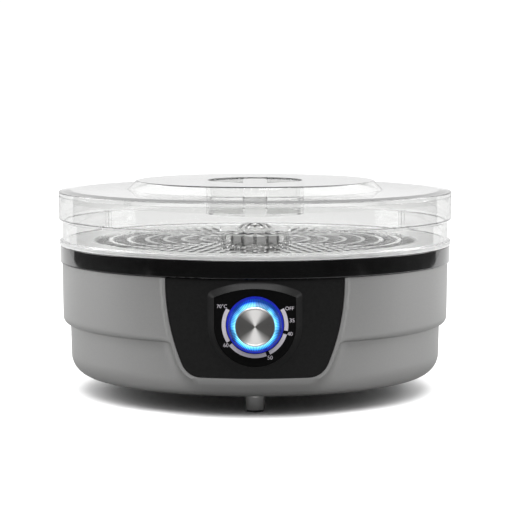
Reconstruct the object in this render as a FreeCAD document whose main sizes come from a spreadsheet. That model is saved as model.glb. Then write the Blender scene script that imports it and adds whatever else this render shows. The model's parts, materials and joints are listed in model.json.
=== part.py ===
"""Round table-top food dehydrator: fan-heater base, one clear tray and a clear lid.

Millimetres, +Z up. The origin is on the table under the centre of the base, and the control panel faces -Y.
Heights are measured from the table, radii from the vertical axis, and depths in front of that axis.
"""
import FreeCAD, Part
import math
import os
import re
import Sketcher

SIZES = {
    # base housing
    "base_floor": 15.5,
    "wall": 2.5,
    "lower_radius": 155.6,
    "step_low": 58.5,
    "step_high": 65.0,
    "step_round": 5.6,
    "upper_radius": 162.2,
    "housing_top": 109.7,
    "bottom_round": 17.0,
    "lip_depth": 7.6,
    "boss_ring": 131.5,
    "boss_radius": 4.2,
    "boss_length": 11.0,
    "screw_head": 2.3,
    # bottom plate and feet
    "plate_radius": 135.7,
    "plate_thick": 2.4,
    "inlet_inner": 34.0,
    "inlet_outer": 58.0,
    "inlet_wide": 4.0,
    "post_ring": 20.0,
    "post_radius": 5.0,
    "post_top": 28.0,
    "foot_ring": 115.0,
    "foot_radius": 7.5,
    "pad_thick": 1.6,
    "foot_stem": 3.0,
    # gloss collar and the deck in it
    "collar_radius": 163.9,
    "collar_bottom": 110.2,
    "collar_top": 124.5,
    "collar_wall": 2.2,
    "ledge_radius": 156.5,
    "ledge_top": 120.0,
    "spigot_bottom": 100.0,
    "deck_screw_ring": 153.6,
    "deck_radius": 160.8,
    "deck_rim_inner": 147.5,
    "deck_floor_radius": 144.5,
    "deck_floor": 111.0,
    "deck_thick": 2.5,
    "outlet_radius": 48.0,
    "grille_radius": 54.0,
    "grille_thick": 2.2,
    "outlet_dome_radius": 26.5,
    "outlet_dome_top": 133.0,
    # panel, with the shield-shaped dial boss on it
    "panel_radius": 161.9,
    "panel_thick": 2.4,
    "panel_top_half": 69.7,
    "panel_bottom": 33.0,
    "panel_reach": 114.0,
    "panel_side_half": 57.0,
    "panel_side_low": 43.0,
    "panel_side_bend": 163.0,
    "panel_corner_half": 42.2,
    "panel_corner_bend": 16.0,
    "lip_radius": 162.9,
    "lip_wide": 3.2,
    "ledge_inner": 154.0,
    "ledge_wide": 4.5,
    "dial_height": 75.1,
    "shield_half": 31.6,
    "shield_low": 74.0,
    "shield_high": 96.4,
    "shield_bend": 79.0,
    "bezel_wide": 4.4,
    "bezel_front": 164.7,
    "bezel_back": 161.5,
    "face_front": 164.4,
    "face_back": 162.9,
    "light_radius": 22.0,
    "light_inner": 15.0,
    "led_ring": 18.6,
    # temperature control
    "knob_radius": 20.6,
    "knob_back": 165.0,
    "knob_shoulder": 168.0,
    "knob_front": 174.8,
    "cap_radius": 15.2,
    "cap_front": 176.8,
    "shaft_radius": 3.0,
    "thermostat_front": 158.6,
    "thermostat_wide": 32.0,
    "thermostat_deep": 20.0,
    "neck_radius": 4.8,
    "nut_flats": 14.7,
    # motor, fan and heater
    "motor_low": 34.0,
    "motor_high": 50.0,
    "rotor_radius": 12.0,
    "rotor_gap": 0.4,
    "bearing_radius": 7.0,
    "bearing_gap": 0.04,
    "spindle_radius": 3.0,
    "fan_radius": 43.0,
    "fan_low": 62.0,
    "fan_high": 80.0,
    "shroud_radius": 46.0,
    "shroud_top": 86.0,
    "shroud_boss_ring": 56.0,
    "mica_low": 90.0,
    "mica_high": 103.0,
    "mica_thick": 1.5,
    "coil_wire": 1.3,
    # cord inlet at the back
    "cord_height": 46.0,
    "cord_bore": 3.6,
    "gland_barrel": 8.0,
    "gland_end": 173.0,
    # tray
    "tray_floor": 125.8,
    "tray_skin": 1.8,
    "tray_foot": 124.7,
    "flange_radius": 164.4,
    "flange_top": 127.9,
    "neck_outer": 161.8,
    "step_tray_low": 143.6,
    "step_tray_high": 146.2,
    "wide_outer": 165.0,
    "tray_top": 165.0,
    "grid_radius": 137.2,
    "slot_wide": 5.0,
    "slot_pitch": 8.6,
    "band_gap": 3.4,
    "band_margin": 0.4,
    "hub_radius": 30.0,
    "hub_top": 136.0,
    "dome_radius": 17.0,
    "dome_top": 141.7,
    # lid
    "lid_seat": 165.2,
    "lid_rim_top": 168.6,
    "lid_plate": 170.0,
    "lid_disc_radius": 107.7,
    "lid_disc_top": 177.3,
    "lid_disc_flat": 100.0,
    "spigot_outer": 162.7,
    "spigot_low": 161.0,
    "cup_radius": 39.5,
    "cup_floor": 151.0,
    "grip_half": 10.0,
}

# Turns that take a thing made along Z to the front or to the back.
FRONT = ((1, 0, 0), 90)
BACK = ((1, 0, 0), -90)
REST_ANGLE = 9.0
GRID_BANDS = 7

doc = FreeCAD.newDocument("FoodDehydrator")
sheet = doc.addObject("Spreadsheet::Sheet", "Sizes")
for row, (alias, number) in enumerate(SIZES.items(), start=1):
    sheet.set("A%d" % row, alias)
    sheet.set("B%d" % row, str(number))
    sheet.setAlias("B%d" % row, alias)
doc.recompute()

PARTS = []


# ---------------------------------------------------------------- helpers

def linked(expression):
    """The expression with each size's name pointing into the sheet."""
    def point(match):
        word = match.group(0)
        return "Sizes." + word if word in SIZES else word
    return re.sub(r"[a-z][a-z_]*", point, str(expression))


def value(expression):
    """The number that an expression comes to."""
    return float(sheet.evalExpression(linked(expression)))


def bind(thing, **sizes):
    """Ties properties of an object to expressions of the sheet."""
    for name, expression in sizes.items():
        thing.setExpression(name, linked(expression))


def place(thing, at=("0", "0", "0"), turn=None):
    """Puts an object at expressions of the sheet, turned by (axis, degrees)."""
    if turn:
        thing.Placement = FreeCAD.Placement(FreeCAD.Vector(),
            FreeCAD.Rotation(FreeCAD.Vector(*turn[0]), turn[1]))
    for letter, expression in zip("xyz", at):
        thing.setExpression("Placement.Base." + letter, linked(expression))
    return thing


def keep(thing, label):
    """Names a finished sub-part, which is written out under its label."""
    thing.Label = label
    PARTS.append(thing)
    return thing


def around(count, radius, first=0.0):
    """Expressions of x and y, and the angle, of evenly spaced spots on a circle."""
    for number in range(count):
        angle = first + 360.0 * number / count
        yield "(%s) * cos(%g)" % (radius, angle), "(%s) * sin(%g)" % (radius, angle), angle


def cylinder(name, radius, length, at=("0", "0", "0"), turn=None):
    """A Part cylinder whose sizes are expressions."""
    thing = doc.addObject("Part::Cylinder", name)
    bind(thing, Radius=radius, Height=length)
    return place(thing, at, turn)


def block(name, size, at):
    """A Part box whose size and middle of the bottom are expressions."""
    thing = doc.addObject("Part::Box", name)
    bind(thing, Length=size[0], Width=size[1], Height=size[2])
    return place(thing, ("%s - (%s) / 2" % (at[0], size[0]), "%s - (%s) / 2" % (at[1], size[1]), at[2]))


def fuse(name, things):
    """Several objects joined into one solid."""
    thing = doc.addObject("Part::MultiFuse", name)
    thing.Refine = False
    thing.Shapes = things
    return thing


def cut(name, base, tools):
    """An object with one or more others taken out of it."""
    thing = doc.addObject("Part::Cut", name)
    thing.Refine = False
    thing.Base = base
    thing.Tool = tools[0] if len(tools) == 1 else fuse(name + "_tools", tools)
    return thing


def common(name, first, second):
    """What two objects share."""
    thing = doc.addObject("Part::Common", name)
    thing.Refine = False
    thing.Base = first
    thing.Tool = second
    return thing


def group(label, things):
    """Separate solids of one kind, kept as one node."""
    thing = doc.addObject("Part::Compound", label)
    thing.Links = things
    return keep(thing, label)


def origin_plane(body, role):
    """One of a body's own origin planes or axes."""
    return next(item for item in body.Origin.OriginFeatures if item.Role == role)


def arc_between(start, end, radius):
    """The arc that turns left from start to end, bulging to the right of the way there."""
    middle = (start + end) / 2
    chord = end - start
    left = FreeCAD.Vector(-chord.y, chord.x, 0).normalize()
    centre = middle + left * math.sqrt(max(radius ** 2 - chord.Length ** 2 / 4, 0))
    first = math.atan2(start.y - centre.y, start.x - centre.x)
    last = math.atan2(end.y - centre.y, end.x - centre.x)
    return Part.ArcOfCircle(Part.Circle(centre, FreeCAD.Vector(0, 0, 1), radius), first, last)


def outline(body, name, role, corners, offset="0"):
    """A closed sketch. A corner is (u, v) or, where an arc runs on to the next one, (u, v, radius)."""
    sketch = body.newObject("Sketcher::SketchObject", name)
    sketch.AttachmentSupport = [(origin_plane(body, role), "")]
    sketch.MapMode = "FlatFace"
    sketch.setExpression("AttachmentOffset.Base.z", linked(offset))
    points = [FreeCAD.Vector(value(corner[0]), value(corner[1]), 0) for corner in corners]
    total = len(corners)
    for index, corner in enumerate(corners):
        start, end = points[index], points[(index + 1) % total]
        if len(corner) == 3:
            sketch.addGeometry(arc_between(start, end, value(corner[2])))
        else:
            sketch.addGeometry(Part.LineSegment(start, end))
    for index in range(total):
        sketch.addConstraint(Sketcher.Constraint("Coincident", index, 2, (index + 1) % total, 1))
    for index, corner in enumerate(corners):
        sides = [("DistanceX", corner[0], points[index].x), ("DistanceY", corner[1], points[index].y)]
        for kind, expression, distance in sides:
            if str(expression) == "0":
                axis = -2 if kind == "DistanceX" else -1
                sketch.addConstraint(Sketcher.Constraint("PointOnObject", index, 1, axis))
                continue
            number = sketch.addConstraint(Sketcher.Constraint(kind, -1, 1, index, 1, distance))
            sketch.setExpression("Constraints[%d]" % number, linked(expression))
        if len(corner) == 3:
            number = sketch.addConstraint(Sketcher.Constraint("Radius", index, value(corner[2])))
            sketch.setExpression("Constraints[%d]" % number, linked(corner[2]))
    return sketch


def turned(name, corners, at=("0", "0", "0"), turn=None):
    """A body of revolution about Z from (radius, height) corners."""
    body = doc.addObject("PartDesign::Body", name)
    sketch = outline(body, name + "_section", "XZ_Plane", corners)
    feature = body.newObject("PartDesign::Revolution", name + "_turned")
    feature.Profile = sketch
    feature.ReferenceAxis = (sketch, ["V_Axis"])
    feature.Angle = 360
    doc.recompute()
    return place(body, at, turn)


def padded(name, role, corners, offset, length, shift=None):
    """A body padded along its plane's normal: up from XY_Plane, to the front from XZ_Plane."""
    body = doc.addObject("PartDesign::Body", name)
    sketch = outline(body, name + "_outline", role, corners, offset)
    feature = body.newObject("PartDesign::Pad", name + "_pad")
    feature.Profile = sketch
    bind(feature, Length=length)
    doc.recompute()
    return place(body, shift) if shift else body


def rectangle(half_u, half_v, middle_u="0", middle_v="0"):
    """The corners of a rectangle, counter-clockwise."""
    signs = [(-1, -1), (1, -1), (1, 1), (-1, 1)]
    return [("%s + %d * (%s)" % (middle_u, u, half_u), "%s + %d * (%s)" % (middle_v, v, half_v))
        for u, v in signs]


def slots(body, name, inner, outer, width, count, first=0.0):
    """Cuts radial slots right through a body, evenly spaced about Z."""
    before = body.Shape.Volume
    corners = rectangle("(%s - %s) / 2" % (outer, inner), "%s / 2" % width,
        "(%s + %s) / 2" % (outer, inner))
    sketch = outline(body, name + "_outline", "XY_Plane", corners)
    sketch.AttachmentOffset = FreeCAD.Placement(
        FreeCAD.Vector(), FreeCAD.Rotation(FreeCAD.Vector(0, 0, 1), first))
    feature = body.newObject("PartDesign::Pocket", name)
    feature.Profile = sketch
    feature.Type = "ThroughAll"
    feature.Midplane = True
    repeat(body, feature, count, before)


def repeat(body, feature, count, volume_before):
    """Repeats a feature about Z and checks that it changed the body."""
    pattern = body.newObject("PartDesign::PolarPattern", feature.Name + "_pattern")
    pattern.Originals = [feature]
    pattern.Axis = (origin_plane(body, "Z_Axis"), [""])
    pattern.Angle = 360
    pattern.Occurrences = count
    body.Tip = pattern
    doc.recompute()
    if abs(body.Shape.Volume - volume_before) < 1e-3:
        raise RuntimeError(feature.Name + " changed nothing")


def round_edges(body, name, radius, circles):
    """Rounds the circular edges of a turned body that lie at (radius, height)."""
    shape = body.Shape
    chosen = []
    for wanted_radius, wanted_height in circles:
        for number, edge in enumerate(shape.Edges, start=1):
            curve = edge.Curve
            if not isinstance(curve, Part.Circle):
                continue
            near = abs(curve.Radius - value(wanted_radius)) < 0.02
            if near and abs(curve.Center.z - value(wanted_height)) < 0.02:
                chosen.append("Edge%d" % number)
    base = body.Tip
    feature = body.newObject("PartDesign::Fillet", name)
    feature.Base = (base, chosen)
    bind(feature, Radius=radius)
    doc.recompute()
    if "Invalid" in feature.State:
        raise RuntimeError("%s failed: %s %s" % (name, chosen, feature.getStatusString()))


def panel_outline(grow="0"):
    """The panel's outline in XZ, grown by a margin and run on above the housing, where bands trim it."""
    side = "(panel_side_half + 0.93 * (%s))" % grow
    side_low = "panel_side_low - 0.37 * (%s)" % grow
    bottom = "panel_bottom - (%s)" % grow
    top_half = "(panel_top_half + (%s))" % grow
    corner_bend = "panel_corner_bend + (%s)" % grow
    side_bend = "panel_side_bend + (%s)" % grow
    return [("-panel_corner_half", bottom), ("panel_corner_half", bottom, corner_bend),
            (side, side_low, side_bend), (top_half, "panel_reach"),
            ("-" + top_half, "panel_reach", side_bend),
            ("-" + side, side_low, corner_bend)]


def shield_outline(grow="0"):
    """The dial's outline in the XZ plane: a half round below, upright sides and a bowed top."""
    half = "(shield_half + (%s))" % grow
    high = "shield_high + 0.6 * (%s)" % grow
    return [("0", "shield_low - %s" % half, half), (half, "shield_low"), (half, high, "shield_bend"),
            ("-" + half, high), ("-" + half, "shield_low", half)]


def forward(name, corners, back, front):
    """A flat outline padded from one depth in front of the axis to a nearer one."""
    return padded(name, "XZ_Plane", corners, back, "%s - (%s)" % (front, back))


def screws(label, spots, shank, head, up=True, turn=None):
    """Pan-head screws. shank and head are (radius, length); a spot is where the head meets the shank."""
    made = []
    for number, spot in enumerate(spots):
        parts = []
        for kind, (radius, length) in (("shank", shank), ("head", head)):
            along = "-(%s)" % length if (kind == "head") == up else "0"
            shift = (spot[0], spot[1], "%s + %s" % (spot[2], along))
            if turn:
                shift = (spot[0], "%s - (%s)" % (spot[1], along), spot[2])
            parts.append(cylinder("%s_%s%d" % (label, kind, number), radius, length, shift, turn))
        made.append(fuse("%s_%d" % (label, number), parts))
    return group(label, made)


# ---------------------------------------------------------------- base

def lower_housing():
    """Grey shell with a step round it, and a raised lip and ledge for the panel at the front."""
    shell = turned("housing_shell", [
        ("plate_radius + 0.3", "base_floor"), ("lower_radius - 0.6", "base_floor"),
        ("lower_radius", "step_low"), ("upper_radius - 0.6", "step_low + 0.4"),
        ("upper_radius", "housing_top"),
        ("upper_radius - wall", "housing_top"), ("upper_radius - 0.6 - wall", "step_high + 1"),
        ("lower_radius - wall", "step_low + 1"), ("lower_radius - 0.6 - wall", "base_floor + 2 * wall"),
        ("plate_radius - lip_depth", "base_floor + 2 * wall"),
        ("plate_radius - lip_depth", "base_floor + wall"),
        ("plate_radius + 0.3", "base_floor + wall")])
    round_edges(shell, "bottom_rounding", "bottom_round", [("lower_radius - 0.6", "base_floor")])
    round_edges(shell, "inside_rounding", "bottom_round - wall",
        [("lower_radius - 0.6 - wall", "base_floor + 2 * wall")])
    round_edges(shell, "step_rounding", "step_round", [("upper_radius - 0.6", "step_low + 0.4")])
    lip_band = turned("lip_band", [
        ("ledge_inner", "panel_bottom - 6"), ("lip_radius", "panel_bottom - 6"),
        ("lip_radius", "housing_top"), ("ledge_inner", "housing_top")])
    lip = common("panel_lip", lip_band,
        forward("lip_outline", panel_outline("lip_wide"), "100", "lip_radius + 6"))
    seat_band = turned("seat_band", [
        ("panel_radius - panel_thick", "panel_bottom - 2"), ("lip_radius + 5", "panel_bottom - 2"),
        ("lip_radius + 5", "housing_top + 2"), ("panel_radius - panel_thick", "housing_top + 2")])
    seat = common("panel_seat", seat_band,
        forward("seat_outline", panel_outline(), "100", "lip_radius + 6"))
    window = forward("window_outline", panel_outline("-ledge_wide"), "100", "lip_radius + 6")
    framed = cut("framed", cut("seated", fuse("shell_and_lip", [shell, lip]), [seat]), [window])
    spots = list(around(6, "boss_ring", 30))
    bosses = [cylinder("screw_boss%d" % n, "boss_radius", "boss_length", (x, y, "base_floor + wall"))
              for n, (x, y, angle) in enumerate(spots)]
    holes = [cylinder("boss_hole%d" % n, "1.7", "boss_length", (x, y, "base_floor + wall - 1"))
             for n, (x, y, angle) in enumerate(spots)]
    holes += [cylinder("panel_hole%d" % n, "1.3", "20", spot, FRONT)
        for n, spot in enumerate(panel_screw_spots())]
    holes.append(cylinder("cord_hole", "gland_barrel + 0.1", "20", ("0", "145", "cord_height"), BACK))
    keep(cut("housing", fuse("housing_whole", [framed] + bosses), holes), "lower_housing")


def panel_screw_spots():
    """Where the heads of the panel's four screws meet the ledge, from inside the housing."""
    for across, height, wall_radius in (("67.3", "98", "ledge_inner"),
        ("57.5", "54", "lower_radius - wall - 0.2")):
        depth = "-sqrt((%s) ^ 2 - (%s + screw_head) ^ 2) + 0.1" % (wall_radius, across)
        yield "-" + across, depth, height
        yield across, depth, height


def bottom_plate():
    """Flat plate that closes the base, with the air inlet slots and the two motor posts."""
    plate = turned("plate_disc", [
        ("0", "base_floor"), ("plate_radius", "base_floor"), ("plate_radius", "base_floor + plate_thick"),
        ("0", "base_floor + plate_thick")])
    slots(plate, "inlet_slot", "inlet_inner", "inlet_outer", "inlet_wide", 24)
    slots(plate, "outer_inlet_slot", "inlet_outer + 6", "inlet_outer + 28", "inlet_wide", 36)
    posts = [cylinder("motor_post%d" % n, "post_radius", "post_top - base_floor - 1",
        ("0", y, "base_floor + 1"))
             for n, y in enumerate(("post_ring", "-post_ring"))]
    holes = [cylinder("post_hole%d" % n, "1.8", "12", ("0", y, "post_top - 11"))
             for n, y in enumerate(("post_ring", "-post_ring"))]
    holes += [cylinder("stem_hole%d" % n, "foot_stem + 0.05", "6", (x, y, "base_floor - 1"))
              for n, (x, y, angle) in enumerate(around(3, "foot_ring", -90))]
    holes += [cylinder("plate_hole%d" % n, "1.8", "6", (x, y, "base_floor - 1"))
              for n, (x, y, angle) in enumerate(around(6, "boss_ring", 30))]
    keep(cut("plate", fuse("plate_and_posts", [plate] + posts), holes), "bottom_plate")
    screws("base_screws", [(x, y, "base_floor") for x, y, angle in around(6, "boss_ring", 30)],
           ("1.6", "10"), ("3.2", "1.4"))


def feet():
    """Three round feet, each pushed into the bottom plate by its stem, with a rubber pad below."""
    made = []
    pads = []
    for number, (x, y, angle) in enumerate(around(3, "foot_ring", -90)):
        post = cylinder("foot_post%d" % number, "foot_radius", "base_floor - pad_thick",
            (x, y, "pad_thick"))
        stem = cylinder("foot_stem%d" % number, "foot_stem", "5", (x, y, "base_floor - 0.5"))
        made.append(fuse("foot_%d" % number, [post, stem]))
        pads.append(cylinder("foot_pad%d" % number, "foot_radius - 0.6", "pad_thick", (x, y, "0")))
    group("feet", made)
    group("foot_pads", pads)


def top_collar():
    """Gloss black ring on the housing: its spigot drops inside, and its ledge takes the deck."""
    ring = turned("collar_ring", [
        ("collar_radius - collar_wall", "collar_bottom"), ("collar_radius", "collar_bottom"),
        ("collar_radius", "collar_top"), ("deck_radius + 0.3", "collar_top"),
        ("deck_radius + 0.3", "ledge_top"),
        ("ledge_radius", "ledge_top"), ("ledge_radius", "spigot_bottom"),
        ("ledge_radius + 2.4", "spigot_bottom"),
        ("ledge_radius + 2.4", "ledge_top - wall"), ("collar_radius - collar_wall", "ledge_top - wall")])
    round_edges(ring, "collar_rounding", "0.8",
        [("collar_radius", "collar_top"), ("collar_radius", "collar_bottom")])
    spots = list(around(6, "deck_screw_ring", 30))
    bosses = [cylinder("deck_boss%d" % n, "3.6", "12", (x, y, "ledge_top - 12"))
              for n, (x, y, angle) in enumerate(spots)]
    holes = [cylinder("deck_boss_hole%d" % n, "1.3", "14", (x, y, "ledge_top - 13"))
             for n, (x, y, angle) in enumerate(spots)]
    relief = block("panel_relief", ("150", "40", "collar_bottom - spigot_bottom + 1"),
                   ("0", "-(collar_radius - 10)", "spigot_bottom - 1"))
    keep(cut("collar", fuse("collar_and_bosses", [ring] + bosses), [relief] + holes), "top_collar")


def air_deck():
    """Black dished deck under the tray, with the warm-air outlet in its middle."""
    under = "deck_floor"
    upper = "deck_floor + deck_thick"
    dish = turned("deck_dish", [
        ("outlet_radius", under), ("deck_floor_radius + 1.5", under), ("deck_rim_inner + 1", "ledge_top"),
        ("deck_radius", "ledge_top"), ("deck_radius", "ledge_top + deck_thick"),
        ("deck_rim_inner", "ledge_top + deck_thick"), ("deck_floor_radius", upper),
        ("outlet_radius", upper)])
    bosses = [cylinder("shroud_boss%d" % n, "4.2", "deck_floor - shroud_top + 1", (x, y, "shroud_top"))
              for n, (x, y, angle) in enumerate(around(3, "shroud_boss_ring", 90))]
    holes = [cylinder("shroud_boss_hole%d" % n, "1.3", "14", (x, y, "shroud_top - 1"))
             for n, (x, y, angle) in enumerate(around(3, "shroud_boss_ring", 90))]
    holes += [cylinder("deck_hole%d" % n, "1.5", "6", (x, y, "ledge_top - 1"))
              for n, (x, y, angle) in enumerate(around(6, "deck_screw_ring", 30))]
    keep(cut("deck", fuse("deck_and_bosses", [dish] + bosses), holes), "air_deck")
    screws("deck_screws",
        [(x, y, "ledge_top + deck_thick") for x, y, angle in around(6, "deck_screw_ring", 30)],
           ("1.2", "9"), ("2.4", "1.2"), up=False)


def outlet_grille():
    """Black finger guard over the outlet: a slotted plate, raised to a hollow dome under the tray's hub."""
    low = "deck_floor + deck_thick"
    upper = low + " + grille_thick"
    plate = turned("grille_disc", [
        ("0", "outlet_dome_top - grille_thick"),
        ("outlet_dome_radius - grille_thick", "outlet_dome_top - grille_thick"),
        ("outlet_dome_radius - grille_thick", low), ("grille_radius", low), ("grille_radius", upper),
        ("outlet_dome_radius", upper), ("outlet_dome_radius", "outlet_dome_top"), ("0", "outlet_dome_top")])
    round_edges(plate, "outlet_dome_rounding", "1.5", [("outlet_dome_radius", "outlet_dome_top")])
    slots(plate, "grille_slot", "12", "27", "3", 16)
    slots(plate, "outer_grille_slot", "30", "outlet_radius - 3", "4", 32)
    keep(plate, "outlet_grille")


# ---------------------------------------------------------------- controls

def front_panel():
    """Satin black panel set in the lip, with the sloped bezel round the dial."""
    band = turned("panel_band", [
        ("panel_radius - panel_thick + 0.1", "panel_bottom - 5"), ("panel_radius", "panel_bottom - 5"),
        ("panel_radius", "housing_top - 0.1"), ("panel_radius - panel_thick + 0.1", "housing_top - 0.1")])
    skin = common("panel_skin", band,
        forward("skin_outline", panel_outline("-0.2"), "100", "lip_radius + 5"))
    bezel = forward("bezel_wall", shield_outline("bezel_wide"), "156.5", "bezel_back")
    slope = bezel.newObject("PartDesign::AdditiveLoft", "bezel_slope")
    slope.Profile = outline(bezel, "bezel_outer", "XZ_Plane", shield_outline("bezel_wide"), "bezel_back")
    slope.Sections = [outline(bezel, "bezel_inner", "XZ_Plane", shield_outline("0.5"), "bezel_front")]
    doc.recompute()
    recess = forward("dial_recess", shield_outline(), "face_back", "face_back + 6")
    rear = cylinder("board_recess", "27", "20.5", ("0", "-140", "dial_height"), FRONT)
    neck = cylinder("neck_hole", "neck_radius + 0.1", "40", ("0", "-140", "dial_height"), FRONT)
    tools = [recess, rear, neck] + led_spots("light_hole", "2.2", "40", "-140")
    tools += [cylinder("panel_screw_hole%d" % n, "1.2", "9.2", spot, FRONT)
              for n, spot in enumerate(panel_screw_spots())]
    keep(cut("panel", fuse("panel_and_bezel", [skin, bezel]), tools), "front_panel")
    screws("panel_screws", list(panel_screw_spots()), ("1.15", "9"), ("screw_head", "1.3"), turn=FRONT)


def led_spots(name, radius, length, y):
    """Eight cylinders on the light ring's circle, along the knob's axis."""
    return [cylinder("%s%d" % (name, n), radius, length, (x, y, "dial_height + " + z), FRONT)
            for n, (x, z, angle) in enumerate(around(8, "led_ring", 22.5))]


def dial():
    """Gloss dial face, the light ring let into it, and the board and lamps behind."""
    face = forward("face_plate", shield_outline("-0.1"), "face_back", "face_front")
    hole = cylinder("face_hole", "light_radius + 0.05", "20", ("0", "-150", "dial_height"), FRONT)
    keep(cut("face", face, [hole]), "dial_face")
    ring = turned("light_ring_body", [
        ("light_inner", "face_back"), ("light_radius", "face_back"), ("light_radius", "face_front"),
        ("light_inner", "face_front")], ("0", "0", "dial_height"), FRONT)
    keep(ring, "light_ring")
    board = turned("board_disc", [
        ("neck_radius + 0.3", "thermostat_front"), ("26", "thermostat_front"),
        ("26", "thermostat_front + 1.6"),
        ("neck_radius + 0.3", "thermostat_front + 1.6")], ("0", "0", "dial_height"), FRONT)
    keep(board, "led_board")
    group("leds", led_spots("led", "1.8", "1.6", "-(thermostat_front + 1.6)"))


def knob():
    """Ribbed clear knob with a spun metal cap, on the thermostat's shaft."""
    spot = ("0", "0", "dial_height")
    skirt = turned("skirt_body", [
        ("12.5", "knob_back"), ("knob_radius", "knob_back"), ("knob_radius", "knob_shoulder"),
        ("knob_radius - 2", "knob_front - 2.3"), ("cap_radius + 0.5", "knob_front"),
        ("cap_radius", "knob_front"),
        ("cap_radius", "knob_front - 1.4"), ("shaft_radius", "knob_front - 1.4"),
        ("shaft_radius", "knob_back + 4.5"),
        ("12.5", "knob_back + 4.5")], spot, FRONT)
    keep(skirt, "knob_skirt")
    cap = turned("cap_body", [
        ("0", "knob_front - 1.4"), ("cap_radius - 0.1", "knob_front - 1.4"),
        ("cap_radius - 0.1", "cap_front - 0.5"),
        ("cap_radius - 0.6", "cap_front"), ("cap_radius - 1.2", "cap_front"),
        ("cap_radius - 1.5", "cap_front - 0.4"),
        ("0", "cap_front - 0.4")], spot, FRONT)
    mark = block("pointer_groove", ("5.4", "1", "1"), ("11.6", "0", "cap_front - 0.7"))
    mark_placed = common("pointer_cut", mark, cylinder("pointer_reach", "cap_radius - 1", "200"))
    mark_placed.Placement = FreeCAD.Placement(
        FreeCAD.Vector(0, 0, value("dial_height")),
        FreeCAD.Rotation(FreeCAD.Vector(1, 0, 0), 90)
        * FreeCAD.Rotation(FreeCAD.Vector(0, 0, 1), REST_ANGLE))
    keep(cut("cap_marked", cap, [mark_placed]), "knob_cap")
    shaft = cylinder("shaft_rod", "shaft_radius", "knob_front - 1.4 - 146",
        ("0", "-146", "dial_height"), FRONT)
    keep(shaft, "thermostat_shaft")


def thermostat():
    """Rotary thermostat behind the panel: body, threaded neck, tabs and the nut that holds it."""
    body = block("thermostat_box", ("thermostat_wide", "thermostat_deep", "thermostat_wide"),
                 ("0", "-(thermostat_front - thermostat_deep / 2)", "dial_height - thermostat_wide / 2"))
    neck = cylinder("thermostat_neck", "neck_radius", "167 - thermostat_front + 1",
                    ("0", "-(thermostat_front - 1)", "dial_height"), FRONT)
    tabs = [block("thermostat_tab%d" % n, ("6.3", "9", "0.8"),
                  (x, "-(thermostat_front - thermostat_deep - 3)", "dial_height + 6"))
            for n, x in enumerate(("-9", "9"))]
    bore = cylinder("thermostat_bore", "shaft_radius + 0.05", "40", ("0", "-144", "dial_height"), FRONT)
    keep(cut("thermostat_whole", fuse("thermostat_solid", [body, neck] + tabs), [bore]), "thermostat")
    flat = "nut_flats / 2"
    corner = "nut_flats / sqrt(3)"
    hexagon = [(flat, "-%s / 2" % corner), (flat, corner + " / 2"), ("0", corner),
               ("-" + flat, corner + " / 2"), ("-" + flat, "-%s / 2" % corner), ("0", "-" + corner)]
    nut = padded("nut_prism", "XY_Plane", hexagon, "face_back", "2.4")
    place(nut, ("0", "0", "dial_height"), FRONT)
    hole = cylinder("nut_hole", "neck_radius + 0.02", "20", ("0", "-155", "dial_height"), FRONT)
    keep(cut("nut", nut, [hole]), "thermostat_nut")


# ---------------------------------------------------------------- motor, fan and heater

def motor():
    """Shaded-pole motor standing on the two posts, with its shaft upright on the axis."""
    height = "(motor_high - motor_low)"
    stack = block("core_stack", ("70", "50", height), ("10", "0", "motor_low"))
    window = block("core_window", ("16", "28", "30"), ("25", "0", "motor_low - 5"))
    bore = cylinder("core_bore", "rotor_radius + rotor_gap", "30", ("0", "0", "motor_low - 5"))
    bolt_holes = [cylinder("core_bolt_hole%d" % n, "1.85", "30", ("0", y, "motor_low - 5"))
                  for n, y in enumerate(("post_ring", "-post_ring"))]
    keep(cut("core", stack, [window, bore] + bolt_holes), "motor_core")
    winding = block("winding", ("40", "26", "28"), ("39", "0", "28"))
    leg = block("winding_leg", ("12.4", "28", height + " + 0.4"), ("39.2", "0", "motor_low - 0.2"))
    keep(cut("coil", winding, [leg]), "motor_coil")
    straps = []
    for number, (low, side) in enumerate((("post_top", 1), ("motor_high", -1))):
        bar_low = low if side > 0 else "motor_high + 4"
        bar = block("strap_bar%d" % number, ("20", "52", "2"), ("0", "0", bar_low))
        legs = [block("strap_leg%d_%d" % (number, n), ("10", "8", "4.5"),
                      ("0", y, "motor_low - 4.5" if side > 0 else "motor_high"))
                for n, y in enumerate(("post_ring + 2", "-(post_ring + 2)"))]
        holes = [cylinder("strap_hole%d_%d" % (number, n), "1.85", "12", ("0", y, bar_low + " - 5"))
                 for n, y in enumerate(("post_ring", "-post_ring"))]
        holes.append(cylinder("strap_bore%d" % number, "bearing_radius", "12",
            ("0", "0", bar_low + " - 5")))
        straps.append(cut("strap%d" % number, fuse("strap_solid%d" % number, [bar] + legs), holes))
    group("motor_brackets", straps)
    bearings = [turned("bearing%d" % n, [
        ("spindle_radius + bearing_gap", low), ("bearing_radius", low), ("bearing_radius", low + " + 5.5"),
        ("spindle_radius + bearing_gap", low + " + 5.5")]) for n, low in enumerate(("26", "52.5"))]
    group("motor_bearings", bearings)
    screws("motor_screws", [("0", y, "motor_high + 6") for y in ("post_ring", "-post_ring")],
           ("1.7", "36"), ("3.2", "2"), up=False)


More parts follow.
